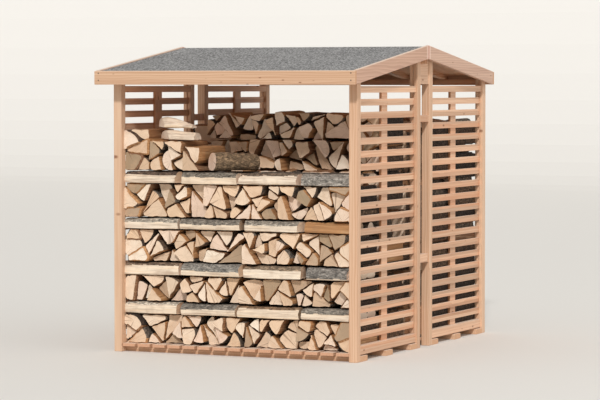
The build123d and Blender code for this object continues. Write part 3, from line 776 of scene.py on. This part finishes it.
# logs that reach this near to the top of a full row are its top layer
TOP_LAYER = 0.014
TOP_HEIGHTS = (0.7, 1.0)
LOWER_BEHIND = 0.3
KEEPS_HEIGHT = ("firewood_row_2", "firewood_front_pile")
rng = random.Random(7)
settling = random.Random(3)
pile_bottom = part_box("firewood_front_pile")[0][2]
for node_name, seen in END_ON.items():
    pile = LogPile(1)
    node_low, node_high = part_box(node_name)
    for log in prisms_of(node_name, 1):
        outline, low, high = log
        if node_name == "firewood_row_2":
            # its two layers have settled into each other
            lift = settling.uniform(-SETTLED, SETTLED)
            outline = [(u, v + lift) for u, v in outline]
            log = (outline, low, high)
        bark = bark_sides(outline)
        # the split sides of end-on logs take dark tones, painted shade between the logs; behind the front
        # row they are darker still, more painted shade
        tones = (rng.random(), rng.uniform(0.0, 0.36), 0.0)
        tint = rng.choice(BARKS)
        top = max(v for u, v in outline)
        if seen != "front":
            tones = (tones[0], 0.25 * tones[1], 0.0)
        # bark turned to the lattice gets a dark tint: painted shade seen through the slats
        if rng.random() < DARK_SHARE:
            for i, (u, v) in enumerate(outline):
                nearest = min(abs(u), abs(outline[(i + 1) % len(outline)][0]))
                if nearest > STACK_REACH - FACES_LATTICE:
                    bark[i] = True
                    tint = linear(rng.choice(PAINTED_SHADE_BARKS))
        set_back = rng.random() < SET_BACK_SHARE
        further_in = rng.uniform(*(SET_BACK if set_back else FLUSH))
        cuts = [(rng.uniform(-0.22, 0.22), rng.uniform(-0.2, 0.2)) for _ in range(2)]
        beside = max(abs(u) for u, v in outline) > STACK_REACH - BESIDE_LATTICE[seen]
        if beside:
            further_in, cuts = 0.0, [(0.0, 0.05), (0.0, 0.05)]
        hidden = seen == "inner" or node_name == "firewood_row_2" and top < pile_bottom + 0.01

        if hidden:
            step = HIDDEN_STEP
            stations = [low, low + 0.01, low + SWELL_DEPTH, high - SWELL_DEPTH, high - 0.01, high]
        elif seen == "front":
            step = SEEN_STEP
            stations = [low + further_in + s for s in NEAR_END] + [high - SWELL_DEPTH, high]
        else:
            step = REAR_STEP
            stations = [low, low + SWELL_DEPTH] + [high - further_in - s for s in reversed(NEAR_END)]

        # logs swell to close the gaps behind their ends, and at once beside the lattice
        if beside:
            swell = (0.01 if seen == "front" else 0.022, 0.012)
        elif hidden or seen == "rear":
            swell = (0.014, SWELL_DEPTH)
        else:
            swell = (0.004, SWELL_DEPTH)

        # the top layer is ragged, and lower in the rows behind the second
        on_top = node_high[2] - top < TOP_LAYER and node_high[2] > pile_bottom + 0.2
        height = rng.uniform(*TOP_HEIGHTS) if on_top else 1.0
        if on_top and node_name not in KEEPS_HEIGHT:
            height -= LOWER_BEHIND
        shape_log(
            pile, log, bark, stations, step, tones, tint, 1.0,
            (seen == "front" and not hidden, seen == "rear"), cuts, None, (height, height),
            swell, (-STACK_REACH, STACK_REACH, node_low[2], node_high[2]),
        )
    finish_pile(pile, node_name)

# binder courses: logs along the width, bark up and split face to the front; for the front four of
# each course, from left to right: the bark's colour, how far it comes down over the face, and how
# pale the face is
FRONT_BARK = [
    [("d8cbb8", 0.18, 0.9), ("90877c", 0.4, 0.92), ("9a7c60", 0.14, 0.88), ("988f83", 0.42, 0.93)],
    [("8b7460", 0.18, 0.9), ("99938a", 0.55, 0.9), ("a08a72", 0.26, 0.95), ("938c84", 0.84, 0.92)],
    [("bdb2a2", 0.3, 0.95), ("8c8377", 0.42, 0.86), ("a69c8e", 0.34, 0.95), ("a57a4e", 0.0, 0.26)],
    [("6e5a4c", 0.22, 0.93), ("8a8174", 0.36, 0.85), ("857260", 0.18, 0.95), ("aaa298", 1.1, 0.9)],
]
HIDDEN_BARK = ("6b6156", 0.5, 0.3)
BINDER_STEP = 0.006
HIDDEN_BINDER_STEP = 0.03
for course, front_bark in enumerate(FRONT_BARK):
    node_name = f"firewood_binder_course_{course + 1}"
    pile = LogPile(0)
    logs = prisms_of(node_name, 0)
    logs.sort(key=lambda log: (round(min(u for u, v in log[0]) / 0.05), log[1]))
    for number, log in enumerate(logs):
        outline, low, high = log
        in_front = number < len(front_bark)
        code, share, pale = front_bark[number] if in_front else HIDDEN_BARK
        bottom = min(v for u, v in outline)
        top = max(v for u, v in outline)
        at_post = low < 0.005 - STACK_REACH
        low = -STACK_REACH if at_post else low + rng.uniform(0.001, 0.009)
        high -= rng.uniform(0.001, 0.009)
        cuts = [(rng.uniform(-0.2, 0.2), rng.uniform(-0.12, 0.12)) for _ in range(2)]
        cuts[0] = (0.0, 0.0) if at_post else cuts[0]
        heights = [rng.uniform(0.92, 1.0) if in_front else 1.0 for _ in range(4)]
        shape_log(
            pile, log, [False] * len(outline), evenly(low, high, 0.012 if in_front else 0.08),
            BINDER_STEP if in_front else HIDDEN_BINDER_STEP, (rng.random(), pale, 0.0), linear(code),
            1.3 if in_front else 0.3, (in_front, in_front), cuts, top - share * (top - bottom), heights,
        )
    finish_pile(pile, node_name)

# two pale peeled logs lie along the pile, sawn aslant at their left ends and tapering to the
# right, and a round one in its bark lies askew beside them
BARK_LOG_TURN = math.radians(57)
ASLANT = 0.95
PALE_LOGS_START_BEFORE = -0.45
BARK_LOG_STARTS_AFTER = -0.97
NO_BARK = 9.0
pale_heights = iter(((0.95, 1.0, 0.95, 0.8, 0.72), (0.9, 1.0, 0.92, 0.66, 0.34)))
pile = LogPile(0)
for log in prisms_of("firewood_loose_logs", 0):
    outline, low, high = log
    if low < PALE_LOGS_START_BEFORE:
        shape_log(
            pile, log, [False] * len(outline), evenly(low, high, 0.008), SEEN_STEP,
            (0.55, rng.uniform(0.84, 0.95), 0.0), linear("7d6f60"), 1.5, (True, True),
            ((-ASLANT, 0.0), (0.1, 0.1)), NO_BARK, next(pale_heights),
        )
pile.turn = Matrix.Rotation(BARK_LOG_TURN, 3, "Z")
for log in prisms_of("firewood_loose_logs", 0, BARK_LOG_TURN):
    outline, low, high = log
    if low > BARK_LOG_STARTS_AFTER:
        shape_log(
            pile, log, [True] * len(outline), evenly(low, high, 0.01), SEEN_STEP,
            (0.68, 0.3, 0.0), linear("8f775c"), 1.6, (True, True),
            ((0.12, 0.1), (0.0, 0.0)), None, (1.0, 1.0, 0.94, 0.88),
        )
finish_pile(pile, "firewood_loose_logs")

# Nails
# Round wire nails fix the fascias into the ends of the barge boards, two at each end, with their
# heads just proud of the wood; the steel has dulled to a dark grey.
NAIL_RADIUS = 0.0045
HEAD_SIDES = 14
HEAD_PROUD = 0.00005
HEAD_SUNK = 0.0005
FROM_END = 0.03
FROM_TOP = (0.016, 0.062)
nail_steel, tree, shader = new_finish("dull_steel_nails")
place = add(tree, "TexCoord").outputs["Object"]
rust = add(tree, "TexNoise", {"Vector": place, "Scale": 700.0, "Detail": 2.0}).outputs[0]
ramp = add(tree, "ValToRGB", {0: rust})
ramp.color_ramp.elements[0].color = linear("3b342f")
ramp.color_ramp.elements[1].color = linear("6d6259")
tree.links.new(ramp.outputs[0], shader.inputs["Base Color"])
shader.inputs["Metallic"].default_value = 0.7
shader.inputs["Roughness"].default_value = 0.5

fascia_low, fascia_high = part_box("front_fascia")
points, faces = [], []
for y_face, outward in ((fascia_low[1], -1), (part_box("rear_fascia")[1][1], 1)):
    for x in (fascia_low[0] + FROM_END, fascia_high[0] - FROM_END):
        for z in (fascia_high[2] - down for down in FROM_TOP):
            first = len(points)
            y_head = y_face + outward * HEAD_PROUD
            y_sunk = y_face + outward * (HEAD_PROUD - HEAD_SUNK)
            for radius, y in ((NAIL_RADIUS, y_sunk), (NAIL_RADIUS, y_head), (NAIL_RADIUS * 0.7, y_head)):
                for k in range(HEAD_SIDES):
                    angle = math.tau * k / HEAD_SIDES
                    points.append((x + radius * math.cos(angle), y, z + radius * math.sin(angle)))
            points.append((x, y_head, z))
            made = []
            for a in (first, first + HEAD_SIDES):
                b = a + HEAD_SIDES
                for k in range(HEAD_SIDES):
                    j = (k + 1) % HEAD_SIDES
                    made.append((a + k, a + j, b + j, b + k))
            for k in range(HEAD_SIDES):
                j = (k + 1) % HEAD_SIDES
                made.append((b + k, b + j, b + HEAD_SIDES))
            faces += made if outward < 0 else [face[::-1] for face in made]
mesh = bpy.data.meshes.new("fascia_nails")
mesh.from_pydata(points, [], faces)
mesh.materials.append(nail_steel)
nails = bpy.data.objects.new("fascia_nails", mesh)
bpy.context.collection.objects.link(nails)
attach(nails, "root")

# Ground and light
# A plain pale floor that curves up far behind, a sun lamp with soft-edged shadows from the front
# right, a large soft lamp from the right and a pale sky.
FLOOR_HALF = 60
FLOOR_NEAR = -40
FLOOR_FAR = 25
FLAT_STRIPS = 4
CURVED_STRIPS = 20
CURVE_RADIUS = 12
ground_paint, tree, shader = new_finish("matt_pale_floor")
shader.inputs["Base Color"].default_value = linear("e8e5e0")
shader.inputs["Roughness"].default_value = 0.9
points, faces = [], []
for k in range(FLAT_STRIPS + 1):
    y = FLOOR_NEAR + (FLOOR_FAR - FLOOR_NEAR) * k / FLAT_STRIPS
    points += [(-FLOOR_HALF, y, -0.0005), (FLOOR_HALF, y, -0.0005)]
for k in range(CURVED_STRIPS):
    bend = math.radians(90 * k / (CURVED_STRIPS - 1))
    y = FLOOR_FAR + CURVE_RADIUS * math.sin(bend)
    z = CURVE_RADIUS - CURVE_RADIUS * math.cos(bend)
    points += [(-FLOOR_HALF, y, z), (FLOOR_HALF, y, z)]
for k in range(FLAT_STRIPS + CURVED_STRIPS):
    faces.append((2 * k, 2 * k + 1, 2 * k + 3, 2 * k + 2))
mesh = bpy.data.meshes.new("floor")
mesh.from_pydata(points, [], faces)
mesh.materials.append(ground_paint)
floor = bpy.data.objects.new("floor", mesh)
bpy.context.collection.objects.link(floor)

key = bpy.data.lights.new("key", "SUN")
key.energy = 1.96
key.angle = math.radians(5)
key_lamp = bpy.data.objects.new("key", key)
key_lamp.rotation_euler = (math.radians(56), 0, math.radians(22))
bpy.context.collection.objects.link(key_lamp)

fill = bpy.data.lights.new("fill", "AREA")
fill.energy = 180
fill.shape = "RECTANGLE"
fill.size = 7
fill.size_y = 4
fill_lamp = bpy.data.objects.new("fill", fill)
fill_lamp.location = (11, -2, 3.6)
fill_lamp.rotation_euler = Vector((-11, 2, -2.6)).to_track_quat("-Z", "Y").to_euler()
fill_lamp.visible_camera = False
bpy.context.collection.objects.link(fill_lamp)

world = bpy.data.worlds.new("sky")
bpy.context.scene.world = world
world.use_nodes = True
tree = world.node_tree
for old in list(tree.nodes):
    tree.nodes.remove(old)
seen = add(tree, "LightPath").outputs["Is Camera Ray"]
glow = add(tree, "Background", {"Color": linear("f1efeb"), "Strength": 0.61}).outputs[0]
backdrop = add(tree, "Background", {"Color": linear("eceae6"), "Strength": 1.0}).outputs[0]
both = add(tree, "MixShader", {0: seen, 1: glow, 2: backdrop}).outputs[0]
add(tree, "OutputWorld", {"Surface": both})

# Camera
# It stands where the photograph was taken from, 18 m off at eye height to the front right, with a
# long lens.
camera = bpy.data.objects.new("camera", bpy.data.cameras.new("camera"))
camera.data.lens = 157.7
camera.data.clip_end = 200
camera.location = (7.5706, -16.3094, 1.7806)
camera.rotation_euler = (math.radians(90 - 2.558), 0, math.radians(24.947))
bpy.context.collection.objects.link(camera)
bpy.context.scene.camera = camera
bpy.context.scene.view_settings.view_transform = "Standard"
